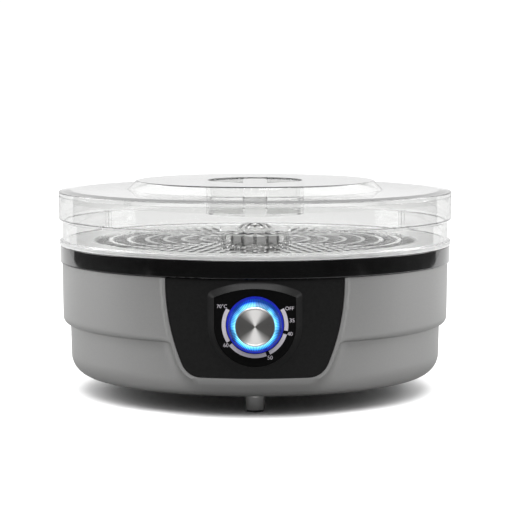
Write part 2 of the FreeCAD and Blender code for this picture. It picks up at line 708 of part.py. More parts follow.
def fan_rotor():
    """What spins: the motor's rotor, its shaft and the seven-bladed fan."""
    shaft = cylinder("spindle", "spindle_radius", "fan_high - 22.5 - 1", ("0", "0", "22.5"))
    keep(shaft, "motor_shaft")
    rotor = turned("rotor_body", [
        ("spindle_radius", "motor_low - 0.5"), ("rotor_radius", "motor_low - 0.5"),
        ("rotor_radius", "motor_high + 0.5"), ("spindle_radius", "motor_high + 0.5")])
    keep(rotor, "motor_rotor")
    fan = turned("fan_body", [
        ("spindle_radius", "fan_low"), ("10", "fan_low"), ("10", "fan_high - 3"), ("7", "fan_high"),
        ("spindle_radius", "fan_high")])
    before = fan.Shape.Volume
    blade = [("-9", "fan_low + 2"), ("-7.6", "fan_low + 2"), ("9", "fan_high - 3"), ("7.6", "fan_high - 3")]
    sketch = outline(fan, "blade_section", "YZ_Plane", blade, "7")
    feature = fan.newObject("PartDesign::Pad", "blade")
    feature.Profile = sketch
    bind(feature, Length="fan_radius - 7")
    repeat(fan, feature, 7, before)
    keep(fan, "fan_impeller")


def air_duct():
    """The fan's plastic shroud, hung from the deck, and the steel liner round the heater."""
    duct = turned("shroud_duct", [
        ("shroud_radius", "fan_low - 3"), ("shroud_radius + 2.2", "fan_low - 3"),
        ("shroud_radius + 2.2", "shroud_top - 2.5"), ("shroud_boss_ring + 6", "shroud_top - 2.5"),
        ("shroud_boss_ring + 6", "shroud_top"), ("shroud_radius", "shroud_top")])
    holes = [cylinder("flange_hole%d" % n, "1.5", "6", (x, y, "shroud_top - 4"))
             for n, (x, y, angle) in enumerate(around(3, "shroud_boss_ring", 90))]
    keep(cut("shroud", duct, holes), "fan_shroud")
    screws("shroud_screws",
        [(x, y, "shroud_top - 2.5") for x, y, angle in around(3, "shroud_boss_ring", 90)],
           ("1.2", "11"), ("2.4", "1.2"))
    liner = turned("liner", [
        ("shroud_radius + 0.4", "shroud_top"), ("shroud_radius + 1", "shroud_top"),
        ("shroud_radius + 1", "deck_floor"), ("shroud_radius + 0.4", "deck_floor")])
    keep(liner, "heat_shield")


def heater():
    """Crossed mica boards with the heating coil lying on them, and a thermal fuse."""
    length = "2 * shroud_radius - 0.6"
    tall = "mica_high - mica_low"
    boards = [block("mica_x", (length, "mica_thick", tall), ("0", "0", "mica_low")),
              block("mica_y", ("mica_thick", length, tall), ("0", "0", "mica_low"))]
    keep(fuse("mica_cross", boards), "heater_frame")
    rings = []
    for number, radius in enumerate((13, 23, 33)):
        ring = doc.addObject("Part::Torus", "coil_ring%d" % number)
        bind(ring, Radius1=radius, Radius2="coil_wire")
        rings.append(place(ring, ("0", "0", "mica_high + coil_wire + 0.02")))
    group("heating_coil", rings)
    fuse_body = cylinder("fuse_body", "2", "12", ("18", "mica_thick / 2 + 2.02", "mica_low + 5"),
        ((0, 1, 0), 90))
    keep(fuse_body, "thermal_fuse")


def mains_inlet():
    """Cord gland through the back wall with its nut inside, and the terminal block on the plate."""
    spot = ("0", "0", "cord_height")
    gland = turned("gland_body", [
        ("cord_bore", "148"), ("gland_barrel", "148"), ("gland_barrel", "lower_radius"),
        ("gland_barrel + 3.5", "lower_radius"), ("gland_barrel + 3.5", "lower_radius + 4"),
        ("gland_barrel + 1.5", "lower_radius + 5.5"), ("gland_barrel + 0.5", "gland_end - 4"),
        ("cord_bore + 2.4", "gland_end"), ("cord_bore", "gland_end")], spot, BACK)
    keep(gland, "cord_gland")
    nut = turned("gland_nut_body", [
        ("gland_barrel + 0.02", "148.3"), ("gland_barrel + 3.5", "148.3"), ("gland_barrel + 3.5", "152"),
        ("gland_barrel + 0.02", "152")], spot, BACK)
    keep(nut, "gland_nut")
    base = block("terminal_base", ("34", "16", "10"), ("0", "112", "base_floor + plate_thick"))
    pockets = [cylinder("terminal_pocket%d" % n, "2.5", "8", (x, "112", "base_floor + plate_thick + 5"))
               for n, x in enumerate(("-11", "0", "11"))]
    keep(cut("terminal", base, pockets), "terminal_block")


# ---------------------------------------------------------------- tray and lid

def tray():
    """Clear stacking tray: wall with a step and locating ribs, slotted floor, and the raised hub."""
    skin = "tray_skin"
    rim = turned("tray_wall", [
        ("grid_radius", "tray_floor"), ("neck_outer - 3.8", "tray_floor"),
        ("neck_outer - 3.8", "tray_foot"),
        ("flange_radius", "tray_foot"), ("flange_radius", "flange_top"), ("neck_outer", "flange_top + 1"),
        ("neck_outer", "step_tray_low"), ("wide_outer", "step_tray_high"), ("wide_outer", "tray_top"),
        ("wide_outer - tray_skin", "tray_top"), ("wide_outer - tray_skin", "step_tray_high + 0.8"),
        ("neck_outer - tray_skin", "step_tray_low + 0.8"),
        ("neck_outer - tray_skin", "tray_floor + " + skin),
        ("grid_radius", "tray_floor + " + skin)])
    round_edges(rim, "tray_rounding", "0.8",
        [("flange_radius", "flange_top"), ("wide_outer", "step_tray_high")])
    rib_low = "step_tray_high + 0.4"
    for number, middle in enumerate(("-3.4", "0", "3.4")):
        before = rim.Shape.Volume
        corners = rectangle("0.9", "0.6", middle, "-(wide_outer - tray_skin + 0.28)")
        sketch = outline(rim, "rib_outline%d" % number, "XY_Plane", corners, rib_low)
        sketch.AttachmentOffset = FreeCAD.Placement(
            FreeCAD.Vector(0, 0, value(rib_low)), FreeCAD.Rotation(FreeCAD.Vector(0, 0, 1), 45))
        rib = rim.newObject("PartDesign::Pad", "rib%d" % number)
        rib.Profile = sketch
        bind(rib, Length="spigot_low - step_tray_high - 1")
        repeat(rim, rib, 4, before)
    keep(rim, "tray_rim")

    keep(slotted_floor("tray_floor_plate"), "tray_grid")

    hub = turned("hub_shell", [
        ("hub_radius - tray_skin", "tray_floor"), ("hub_radius", "tray_floor"), ("hub_radius", "hub_top"),
        ("dome_radius", "hub_top"), ("0.62 * dome_radius", "dome_top - 1.6"), ("0", "dome_top"),
        ("0", "dome_top - tray_skin"), ("0.6 * dome_radius", "dome_top - tray_skin - 1.5"),
        ("dome_radius - tray_skin / 2", "hub_top - tray_skin"),
        ("hub_radius - tray_skin", "hub_top - tray_skin")])
    slots(hub, "dome_slot", "4", "dome_radius - 3", "2", 12)
    before = hub.Shape.Volume
    side = outline(hub, "side_slot_outline", "YZ_Plane", rectangle("7.6", "1", "0", "hub_top - 3.2"), "20")
    feature = hub.newObject("PartDesign::Pocket", "side_slot")
    feature.Profile = side
    feature.Length = 20
    feature.Reversed = True
    repeat(hub, feature, 10, before)
    keep(hub, "tray_hub")


def slotted_floor(name):
    """The tray's floor: bands of radial slots, as one flat face with its holes, raised by its thickness."""
    height = value("tray_floor")
    inner, outer, half = value("hub_radius"), value("grid_radius"), value("slot_wide") / 2
    up = FreeCAD.Vector(0, 0, 1)
    wires = [Part.Wire(Part.makeCircle(radius, FreeCAD.Vector(0, 0, height), up))
        for radius in (outer, inner)]
    pitch = (outer - inner - 2 * value("band_margin")) / GRID_BANDS
    for band in range(GRID_BANDS):
        near = inner + value("band_margin") + band * pitch + value("band_gap") / 2
        far = near + pitch - value("band_gap")
        slot = Part.makePolygon([FreeCAD.Vector(u, v, height) for u, v in (
            (near, -half), (far, -half), (far, half), (near, half), (near, -half))])
        count = 12 * round(math.pi * (near + far) / value("slot_pitch") / 12)
        for number in range(count):
            wire = slot.copy()
            wire.rotate(FreeCAD.Vector(), up, 360.0 * (number + 0.5 * (band % 2)) / count)
            wires.append(wire)
    plate = doc.addObject("Part::Feature", name)
    plate.Shape = Part.Face(wires, "Part::FaceMakerBullseye").extrude(up * value("tray_skin"))
    return plate


def lid():
    """Clear lid: flat rim, raised disc, and a finger cup in the middle with a grip bar across it."""
    skin = "tray_skin"
    body = turned("lid_shell", [
        ("0", "cup_floor - " + skin), ("cup_radius + " + skin, "cup_floor - " + skin),
        ("cup_radius + " + skin, "lid_disc_top - " + skin), ("lid_disc_flat - 1", "lid_disc_top - " + skin),
        ("lid_disc_radius - 1.4", "lid_plate - " + skin), ("spigot_outer - 1.5", "lid_plate - 2.2"),
        ("spigot_outer - 1.5", "spigot_low"), ("spigot_outer", "spigot_low"), ("spigot_outer", "lid_seat"),
        ("wide_outer", "lid_seat"), ("wide_outer", "lid_rim_top"), ("wide_outer - 10.5", "lid_plate - 0.3"),
        ("lid_disc_radius", "lid_plate"), ("lid_disc_flat", "lid_disc_top"), ("cup_radius", "lid_disc_top"),
        ("cup_radius", "cup_floor"), ("0", "cup_floor")])
    round_edges(body, "rim_rounding", "0.8", [("wide_outer", "lid_rim_top")])
    round_edges(body, "disc_rounding", "2.5", [("lid_disc_flat", "lid_disc_top")])
    round_edges(body, "cup_rounding", "0.8", [("cup_radius", "lid_disc_top")])
    bar = padded("grip_bar", "XY_Plane", rectangle("grip_half", "cup_radius + 1"), "cup_floor - 1",
                 "lid_disc_top - 0.6 - cup_floor + 1")
    reach = cylinder("grip_reach", "cup_radius + 0.9", "40", ("0", "0", "cup_floor - 1"))
    hollow = padded("grip_hollow", "XY_Plane", rectangle("grip_half - tray_skin", "cup_radius - 3.2"),
                    "cup_floor - tray_skin - 1", "lid_disc_top - 0.6 - cup_floor + 1")
    solid = fuse("lid_solid", [body, common("grip_block", bar, reach)])
    keep(cut("lid_whole", solid, [hollow]), "lid")


# ---------------------------------------------------------------- build, check and write

for build in (lower_housing, bottom_plate, feet, top_collar, air_deck, outlet_grille, front_panel,
    dial, knob,
              thermostat, motor, fan_rotor, air_duct, heater, mains_inlet, tray, lid):
    build()
doc.recompute()

for thing in doc.Objects:
    if "Invalid" in thing.State or "Error" in thing.State:
        raise RuntimeError("%s failed: %s" % (thing.Label, thing.State))
for thing in PARTS:
    if thing.Shape.isNull() or not thing.Shape.isValid() or not thing.Shape.Solids:
        raise RuntimeError("%s has no valid solid" % thing.Label)

for thing in doc.findObjects("Part::Cut"):
    whole, taken = thing.Base.Shape, thing.Base.Shape.common(thing.Tool.Shape).Volume
    if taken <= 0 or abs(whole.Volume - taken - thing.Shape.Volume) > 0.001 * whole.Volume:
        raise RuntimeError("%s is not cut as it should be" % thing.Label)

os.makedirs("parts", exist_ok=True)
for thing in PARTS:
    thing.Shape.exportStep("parts/%s.step" % thing.Label)
    box = thing.Shape.BoundBox
    print("%-18s solids %2d  volume %10.1f  x %7.1f %7.1f  y %7.1f %7.1f  z %6.1f %6.1f" % (
        thing.Label, len(thing.Shape.Solids), thing.Shape.Volume,
        box.XMin, box.XMax, box.YMin, box.YMax, box.ZMin, box.ZMax))
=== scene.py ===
"""Looks of the food dehydrator: finishes, detailed outer shells, studio light and camera.

Sizes are in millimetres, turned into metres where a mesh is made. Z is up, and the panel faces -Y.
"""
import bpy
import json
import math
import numpy as np
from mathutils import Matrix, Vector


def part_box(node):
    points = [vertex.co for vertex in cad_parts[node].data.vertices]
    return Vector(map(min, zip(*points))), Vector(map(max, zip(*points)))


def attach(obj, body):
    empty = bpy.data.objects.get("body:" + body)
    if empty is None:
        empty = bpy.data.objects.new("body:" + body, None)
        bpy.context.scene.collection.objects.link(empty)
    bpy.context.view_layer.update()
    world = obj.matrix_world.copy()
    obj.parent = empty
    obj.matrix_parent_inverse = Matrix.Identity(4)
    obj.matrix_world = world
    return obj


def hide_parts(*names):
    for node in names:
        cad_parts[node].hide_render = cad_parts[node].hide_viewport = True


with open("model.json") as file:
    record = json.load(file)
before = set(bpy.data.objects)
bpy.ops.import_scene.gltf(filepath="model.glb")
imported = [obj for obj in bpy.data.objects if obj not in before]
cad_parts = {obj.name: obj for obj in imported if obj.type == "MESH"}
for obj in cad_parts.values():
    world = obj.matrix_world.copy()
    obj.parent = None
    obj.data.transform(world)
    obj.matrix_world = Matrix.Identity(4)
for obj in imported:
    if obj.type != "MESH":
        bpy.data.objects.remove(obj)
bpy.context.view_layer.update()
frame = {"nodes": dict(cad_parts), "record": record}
NODES = frame["nodes"]
MM = 0.001

# ---------------------------------------------------------------- sizes


def reach(node, axis, end):
    """How far a CAD node goes along an axis, in millimetres; end is 0 for its low side and 1 for its high side."""
    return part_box(node)[end][axis] / MM


HOUSING_LOW = reach("lower_housing", 2, 0)
HOUSING_TOP = reach("lower_housing", 2, 1)
LIP_RADIUS = -reach("lower_housing", 1, 0)
UPPER_RADIUS = reach("lower_housing", 0, 1)
PLATE_RADIUS = reach("bottom_plate", 0, 1) + 0.3
PANEL_TOP = reach("front_panel", 2, 1)
PANEL_LOW = reach("front_panel", 2, 0) - 0.2
BEZEL_FRONT = -reach("front_panel", 1, 0)
FACE_FRONT = -reach("dial_face", 1, 0)
KNOB_RADIUS = reach("knob_skirt", 0, 1)
KNOB_BACK = -reach("knob_skirt", 1, 1)
KNOB_FRONT = -reach("knob_skirt", 1, 0)
CAP_RADIUS = reach("knob_cap", 0, 1)
CAP_FRONT = -reach("knob_cap", 1, 0)
DIAL_HEIGHT = (reach("knob_skirt", 2, 0) + reach("knob_skirt", 2, 1)) / 2

LOWER_RADIUS = 155.6
STEP_LOW = 58.5
STEP_HIGH = 65.0
STEP_ROUND = 5.6
BOTTOM_ROUND = 17.0
WALL = 2.5
PANEL_RADIUS = 161.9
PANEL_THICK = 2.3
FLANGE_TOP = 128.0
LIP_WIDE = 2.5
LIP_FLARE = 13.0
SHIELD_HALF = 31.6
SHIELD_LOW = 74.0
SHIELD_HIGH = 96.4
BEZEL_WIDE = 4.9
REST_ANGLE = 9.0
KNOB_RIBS = 90


# ---------------------------------------------------------------- outlines

def arc(start, end, radius, steps):
    """Points of the arc that turns left from start to end, without its last point."""
    start, end = np.array(start, float), np.array(end, float)
    chord = end - start
    length = math.hypot(*chord)
    left = np.array([-chord[1], chord[0]]) / length
    centre = (start + end) / 2 + left * math.sqrt(max(radius ** 2 - length ** 2 / 4, 0))
    first = math.atan2(*(start - centre)[::-1])
    sweep = (math.atan2(*(end - centre)[::-1]) - first) % (2 * math.pi)
    angles = first + sweep * np.arange(steps) / steps
    return [tuple(centre + radius * np.array([math.cos(a), math.sin(a)])) for a in angles]


def loop(corners):
    """A closed outline. A corner is (u, v) or, where an arc runs on to the next one, (u, v, radius, steps)."""
    points = []
    for index, corner in enumerate(corners):
        following = corners[(index + 1) % len(corners)]
        if len(corner) == 2:
            points.append(corner)
        else:
            points += arc(corner[:2], following[:2], corner[2], corner[3])
    return np.array(points)


def panel_outline(grow):
    """The panel's outline seen from the front, grown by a margin and run on above the housing."""
    side, side_low = 57.0 + 0.93 * grow, 43.0 - 0.37 * grow
    low, top = PANEL_LOW - grow, 69.7 + grow
    bend, corner = 163.0 + grow, 16.0 + grow
    return loop([(-42.2, low), (42.2, low, corner, 16), (side, side_low, bend, 40), (top, 114.0),
                 (-top, 114.0, bend, 40), (-side, side_low, corner, 16)])


def shield_outline(grow):
    """The dial's outline: a half round below, upright sides and a bowed top."""
    half, high = SHIELD_HALF + grow, SHIELD_HIGH + 0.6 * grow
    return loop([(0, SHIELD_LOW - half, half, 24), (half, SHIELD_LOW), (half, high, 79.0, 24),
                 (-half, high), (-half, SHIELD_LOW, half, 24)])


def from_outline(points, outline):
    """Signed distance of each point from a closed outline, positive outside, and the way straight out from it."""
    start = outline
    end = np.roll(outline, -1, axis=0)
    along = end - start
    length = (along ** 2).sum(1)
    offset = points[:, None, :] - start[None]
    share = np.clip((offset * along[None]).sum(2) / length, 0, 1)
    nearest = start[None] + share[..., None] * along[None]
    gaps = points[:, None, :] - nearest
    distances = np.sqrt((gaps ** 2).sum(2))
    best = distances.argmin(1)
    rows = np.arange(len(points))
    above = (start[:, 1] > points[:, None, 1]) != (end[:, 1] > points[:, None, 1])
    crossing = start[:, 0] + (points[:, None, 1] - start[:, 1]) * along[:, 0] / np.where(along[:, 1] == 0, 1, along[:, 1])
    inside = (above & (points[:, None, 0] < crossing)).sum(1) % 2 == 1
    sign = np.where(inside, -1.0, 1.0)
    gap = gaps[rows, best]
    distance = distances[rows, best]
    out = sign[:, None] * gap / np.maximum(distance, 1e-9)[:, None]
    return sign * distance, out


def snap(points, outline, levels, cell):
    """Moves the points that lie within half a cell of a level onto it. Returns which ones moved."""
    distance, out = from_outline(points, outline)
    moved = np.zeros(len(points), bool)
    for level in levels:
        near = (np.abs(distance - level) < 0.52 * cell) & ~moved & (np.abs(distance) > 1e-6)
        points[near] += out[near] * (level - distance[near])[:, None]
        moved |= near
    return moved


# ---------------------------------------------------------------- meshes

def piece(name, points, faces, body, slot, stands_for=(), crease=35.0):
    """A mesh object from points in millimetres, smooth up to the crease angle, riding on a body."""
    mesh = bpy.data.meshes.new(name)
    mesh.from_pydata([tuple(float(v) * MM for v in point) for point in points], [], faces)
    mesh.validate()
    return dress(name, mesh, body, slot, stands_for, crease)


def dress(name, mesh, body, slot, stands_for=(), crease=35.0):
    """Puts a mesh in the scene with its finish."""
    mesh.shade_smooth()
    mesh.set_sharp_from_angle(angle=math.radians(crease))
    thing = bpy.data.objects.new(name, mesh)
    bpy.context.scene.collection.objects.link(thing)
    thing.data.materials.clear()
    thing.data.materials.append(FINISHES[slot])
    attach(thing, body)
    if stands_for:
        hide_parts(*stands_for)
    return thing


def rounded(corners, steps=5):
    """A closed section with its corners rounded. A corner is (radius from the axis, height, rounding)."""
    points = []
    total = len(corners)
    for index, corner in enumerate(corners):
        here = np.array(corner[:2], float)
        rounding = corner[2] if len(corner) > 2 else 0
        if not rounding:
            points.append(tuple(here))
            continue
        before = np.array(corners[index - 1][:2], float) - here
        after = np.array(corners[(index + 1) % total][:2], float) - here
        before /= math.hypot(*before)
        after /= math.hypot(*after)
        half = math.acos(max(-1, min(1, float(before @ after)))) / 2
        reach_back = rounding / math.tan(half)
        first, last = here + before * reach_back, here + after * reach_back
        centre = here + (before + after) / math.hypot(*(before + after)) * rounding / math.sin(half)
        for step in range(steps + 1):
            share = step / steps
            way = (first - centre) * (1 - share) + (last - centre) * share
            points.append(tuple(centre + way / math.hypot(*way) * rounding))
    return points


def turned(section, segments=192, wave=None):
    """Points and faces of a closed section turned about Z. wave(radius, height, turn) may change the radius."""
    points, faces = [], []
    count = len(section)
    for column in range(segments):
        turn = 2 * math.pi * column / segments
        for radius, height in section:
            here = wave(radius, height, turn) if wave else radius
            points.append((here * math.cos(turn), here * math.sin(turn), height))
    for column in range(segments):
        following = (column + 1) % segments
        for row in range(count):
            after = (row + 1) % count
            faces.append((column * count + row, following * count + row, following * count + after, column * count + after))
    return points, faces


def on_knob(points):
    """Turns points about Z into points about the knob's axis, with height as depth in front of the main axis."""
    return [(x, -z, y + DIAL_HEIGHT) for x, y, z in points]


def two_sheets(front, back, quads):
    """Faces of a closed shell between two sheets of the same layout: front points first, then back points."""
    count = len(front)
    edges = {}
    for quad in quads:
        for index, corner in enumerate(quad):
            edge = (corner, quad[(index + 1) % len(quad)])
            edges[edge] = True
    faces = [tuple(quad) for quad in quads]
    faces += [tuple(corner + count for corner in reversed(quad)) for quad in quads]
    for first, last in edges:
        if (last, first) not in edges:
            faces.append((last, first, first + count, last + count))
    return faces


def trimmed(quads, keep, on_line):
    """Drops what lies outside, keeps a triangle where just one corner does, and splits along the snapped lines."""
    faces = []
    for quad in quads:
        held = [corner for corner in quad if keep[corner]]
        if len(held) == 3:
            faces.append(tuple(held))
        elif len(held) == 4:
            if on_line[quad[0]] and on_line[quad[2]]:
                faces += [(quad[0], quad[1], quad[2]), (quad[0], quad[2], quad[3])]
            elif on_line[quad[1]] and on_line[quad[3]]:
                faces += [(quad[1], quad[2], quad[3]), (quad[1], quad[3], quad[0])]
            else:
                faces.append(tuple(quad))
    return faces


def used_only(front, back, faces):
    """Drops the points that no face uses."""
    wanted = sorted({corner for face in faces for corner in face})
    renamed = {old: new for new, old in enumerate(wanted)}
    return front[wanted], back[wanted], [tuple(renamed[corner] for corner in face) for face in faces]


# ---------------------------------------------------------------- finishes

def finish(slot, colour, roughness, **settings):
    """A Principled finish with its constants set on the shader's own sockets."""
    material = bpy.data.materials.new(slot)
    material.use_nodes = True
    shader = material.node_tree.nodes["Principled BSDF"]
    shader.inputs["Base Color"].default_value = (*colour, 1)
    shader.inputs["Roughness"].default_value = roughness
    for name, number in settings.items():
        shader.inputs[name.replace("_", " ")].default_value = number
    return material, shader


def node(material, kind, **inputs):
    """A shader node with some of its inputs set."""
    made = material.node_tree.nodes.new(kind)
    for name, number in inputs.items():
        made.inputs[name.replace("_", " ")].default_value = number
    return made


def link(material, start, end):
    """Joins two sockets."""
    material.node_tree.links.new(start, end)


def noise(material, scale, detail=4.0, stretch=(1, 1, 1)):
    """Noise in object coordinates, per metre, that can be stretched along the axes."""
    place = material.node_tree.nodes.new("ShaderNodeTexCoord")
    mapping = node(material, "ShaderNodeMapping", Scale=stretch)
    texture = node(material, "ShaderNodeTexNoise", Scale=scale, Detail=detail)
    link(material, place.outputs["Object"], mapping.inputs["Vector"])
    link(material, mapping.outputs["Vector"], texture.inputs["Vector"])
    return texture.outputs["Fac"]


def between(material, factor, low, high, socket):
    """Drives a number socket from noise, spread over a range."""
    spread = node(material, "ShaderNodeMapRange", From_Min=0.3, From_Max=0.7, To_Min=low, To_Max=high)
    link(material, factor, spread.inputs["Value"])
    link(material, spread.outputs["Result"], socket)


def tinted(material, shader, factor, dark, light):
    """Drives the base colour from noise, between two colours."""
    ramp = material.node_tree.nodes.new("ShaderNodeValToRGB")
    ramp.color_ramp.elements[0].position = 0.3
    ramp.color_ramp.elements[0].color = (*dark, 1)
    ramp.color_ramp.elements[1].position = 0.7
    ramp.color_ramp.elements[1].color = (*light, 1)
    link(material, factor, ramp.inputs["Fac"])
    link(material, ramp.outputs["Color"], shader.inputs["Base Color"])


def bumped(material, shader, factor, depth_mm, strength=1.0):
    """Raises the surface by noise, to a depth in millimetres."""
    bump = node(material, "ShaderNodeBump", Strength=strength, Distance=depth_mm * MM)
    link(material, factor, bump.inputs["Height"])
    link(material, bump.outputs["Normal"], shader.inputs["Normal"])


def grey(level):
    """A neutral linear colour."""
    return (level, level, level)


def silver_plastic():
    """Moulded plastic with a fine silver-grey paint: flakes too small to tell apart, and a soft sheen."""
    material, shader = finish("silver_plastic", grey(0.328), 0.42, Metallic=0.8)
    flakes = noise(material, 2600, 2)
    tinted(material, shader, flakes, (0.307, 0.306, 0.303), (0.348, 0.347, 0.344))
    between(material, noise(material, 900, 3), 0.38, 0.46, shader.inputs["Roughness"])
    bumped(material, shader, flakes, 0.012, 0.35)
    return material


def dark_plastic():
    """Unpainted charcoal moulding with a fine spark-eroded grain."""
    material, shader = finish("dark_plastic", grey(0.02), 0.5)
    tinted(material, shader, noise(material, 300), grey(0.017), grey(0.026))
    between(material, noise(material, 800), 0.42, 0.58, shader.inputs["Roughness"])
    bumped(material, shader, noise(material, 1800, 3), 0.03, 0.5)
    return material


def gloss_black():
    """Polished black moulding, with the faint waviness of a moulded gloss surface."""
    material, shader = finish("gloss_black", grey(0.004), 0.06, Coat_Weight=0.3, Coat_Roughness=0.03)
    tinted(material, shader, noise(material, 60), grey(0.0035), grey(0.0055))
    between(material, noise(material, 120), 0.045, 0.09, shader.inputs["Roughness"])
    bumped(material, shader, noise(material, 35, 1), 0.02, 0.15)
    return material


def dial_black():
    """Black lacquer behind the scale, too dull to mirror the table, with a fine even grain."""
    material, shader = finish("dial_black", grey(0.0025), 0.4, Specular_IOR_Level=0.04)
    tinted(material, shader, noise(material, 500), grey(0.002), grey(0.0035))
    bumped(material, shader, noise(material, 1500, 2), 0.01, 0.3)
    return material


def satin_black():
    """Black moulding with a fine even grain that scatters its highlights."""
    material, shader = finish("satin_black", grey(0.006), 0.42, Specular_IOR_Level=0.15)
    tinted(material, shader, noise(material, 500), grey(0.0045), grey(0.0075))
    between(material, noise(material, 1200), 0.36, 0.48, shader.inputs["Roughness"])
    bumped(material, shader, noise(material, 2400, 3), 0.015, 0.4)
    return material


def see_through(material, shader, clearness):
    """Lets the lamps' light through, so that what stands behind the plastic isn't in its shadow."""
    tree = material.node_tree
    ray = tree.nodes.new("ShaderNodeLightPath")
    clear = node(material, "ShaderNodeBsdfTransparent", Color=(*clearness, 1))
    mix = tree.nodes.new("ShaderNodeMixShader")
    link(material, ray.outputs["Is Shadow Ray"], mix.inputs[0])
    link(material, shader.outputs[0], mix.inputs[1])
    link(material, clear.outputs[0], mix.inputs[2])
    link(material, mix.outputs[0], tree.nodes["Material Output"].inputs["Surface"])


def clear_plastic(name, foot_roughness):
    """Crystal-clear styrene with shallow moulding ripples, which may be matt below the height of the tray's flange."""
    material, shader = finish(name, (0.978, 0.98, 0.976), 0.02, Transmission_Weight=1.0, IOR=1.5)
    place = material.node_tree.nodes.new("ShaderNodeTexCoord")
    parts = material.node_tree.nodes.new("ShaderNodeSeparateXYZ")
    link(material, place.outputs["Object"], parts.inputs[0])
    foot = node(material, "ShaderNodeMapRange", From_Min=FLANGE_TOP * MM, From_Max=(FLANGE_TOP + 0.4) * MM,
                To_Min=foot_roughness, To_Max=0.0)
    link(material, parts.outputs["Z"], foot.inputs["Value"])
    polish = node(material, "ShaderNodeMapRange", From_Min=0.3, From_Max=0.7, To_Min=0.01, To_Max=0.04)
    link(material, noise(material, 180), polish.inputs["Value"])
    rough = material.node_tree.nodes.new("ShaderNodeMath")
    rough.operation = "MAXIMUM"
    link(material, foot.outputs["Result"], rough.inputs[0])
    link(material, polish.outputs["Result"], rough.inputs[1])
    link(material, rough.outputs[0], shader.inputs["Roughness"])
    bumped(material, shader, noise(material, 40, 1), 0.02, 0.04)
    see_through(material, shader, (0.97, 0.97, 0.97))
    return material


def around_axis(material, axis_height):
    """Distance in metres from an axis along Y at a height, and the way out to the point, in the piece's own
    coordinates.
    """
    place = material.node_tree.nodes.new("ShaderNodeTexCoord")
    parts = material.node_tree.nodes.new("ShaderNodeSeparateXYZ")
    link(material, place.outputs["Object"], parts.inputs[0])
    rise = node(material, "ShaderNodeMath")
    rise.operation = "SUBTRACT"
    link(material, parts.outputs["Z"], rise.inputs[0])
    rise.inputs[1].default_value = axis_height * MM
    far = node(material, "ShaderNodeCombineXYZ")
    link(material, parts.outputs["X"], far.inputs["X"])
    link(material, rise.outputs[0], far.inputs["Y"])
    length = node(material, "ShaderNodeVectorMath")
    length.operation = "LENGTH"
    link(material, far.outputs[0], length.inputs[0])
    return length.outputs["Value"], far.outputs[0]


def wave_round_axis(material, spot, count):
    """A wave from 0 to 1 that runs round an axis a number of times."""
    parts = material.node_tree.nodes.new("ShaderNodeSeparateXYZ")
    link(material, spot, parts.inputs[0])
    wave = parts.outputs["Y"]
    for operation, number in (("ARCTAN2", None), ("MULTIPLY", count), ("COSINE", None), ("MULTIPLY_ADD", 0.5)):
        step = material.node_tree.nodes.new("ShaderNodeMath")
        step.operation = operation
        link(material, wave, step.inputs[0])
        if operation == "ARCTAN2":
            link(material, parts.outputs["X"], step.inputs[1])
        elif number is not None:
            step.inputs[1].default_value = number
            step.inputs[2].default_value = number
        wave = step.outputs[0]
    return wave


def spun_aluminium():
    """Aluminium faced on a lathe: fine rings that spread its highlights into wedges. Its colour also holds a painted
    reflection: light wedges above and below, dark wedges at the sides.
    """
    material, shader = finish("spun_aluminium", (0.78, 0.77, 0.76), 0.42, Metallic=1.0, Anisotropic=0.95,
                              Anisotropic_Rotation=0.25)
    distance, spot = around_axis(material, DIAL_HEIGHT)
    rings = node(material, "ShaderNodeTexNoise", Scale=9000.0, Detail=2.0)
    rings.noise_dimensions = "1D"
    link(material, distance, rings.inputs["W"])
    between(material, rings.outputs["Fac"], 0.36, 0.48, shader.inputs["Roughness"])
    # painted reflection: the colour is light in wedges above and below the axis and dark in wedges at the sides
    tinted(material, shader, wave_round_axis(material, spot, 2), (0.66, 0.65, 0.64), (0.22, 0.215, 0.21))
    tangent = material.node_tree.nodes.new("ShaderNodeTangent")
    tangent.direction_type = "RADIAL"
    tangent.axis = "Y"
    link(material, tangent.outputs[0], shader.inputs["Tangent"])
    return material


def lit_plastic():
    """The knob's clear ribbed ring, glowing with the blue light behind it, whitest at its inner edge. Brighter patches
    in the glow are painted highlights, and stripes that follow the ribs are painted light and shade.
    """
    material, shader = finish("lit_plastic", (0.005, 0.03, 0.12), 0.2, Specular_IOR_Level=0.3, Emission_Strength=1.0)
    distance, spot = around_axis(material, DIAL_HEIGHT)
    ramp = material.node_tree.nodes.new("ShaderNodeValToRGB")
    spread = node(material, "ShaderNodeMapRange", From_Min=CAP_RADIUS * MM, From_Max=KNOB_RADIUS * MM)
    link(material, distance, spread.inputs["Value"])
    link(material, spread.outputs["Result"], ramp.inputs["Fac"])
    bands = [(0.0, (0.02, 0.25, 0.7)), (0.08, (0.30, 0.85, 1.0)), (0.25, (0.12, 0.60, 1.0)),
             (0.55, (0.02, 0.25, 0.75)), (0.7, (0.0, 0.012, 0.26)), (1.0, (0.0, 0.002, 0.1))]
    ramp.color_ramp.elements[1].position = bands[-1][0]
    for position, colour in bands[1:-1]:
        ramp.color_ramp.elements.new(position)
    for element, (position, colour) in zip(ramp.color_ramp.elements, bands):
        element.color = (*colour, 1)
    link(material, ramp.outputs["Color"], shader.inputs["Emission Color"])
    # painted highlights: noise patches where the glow runs brighter, up to white
    painted_highlight_patches = node(material, "ShaderNodeMapRange", From_Min=0.38, From_Max=0.66, To_Min=0.6, To_Max=3.0)
    link(material, noise(material, 75, 1), painted_highlight_patches.inputs["Value"])
    # painted light and shade across the ribs: the glow runs brighter and darker with each rib
    painted_rib_stripes = node(material, "ShaderNodeMapRange", To_Min=0.15, To_Max=1.3)
    link(material, wave_round_axis(material, spot, KNOB_RIBS), painted_rib_stripes.inputs["Value"])
    glow = material.node_tree.nodes.new("ShaderNodeMath")
    glow.operation = "MULTIPLY"
    link(material, painted_highlight_patches.outputs["Result"], glow.inputs[0])
    link(material, painted_rib_stripes.outputs["Result"], glow.inputs[1])
    link(material, glow.outputs[0], shader.inputs["Emission Strength"])
    return material


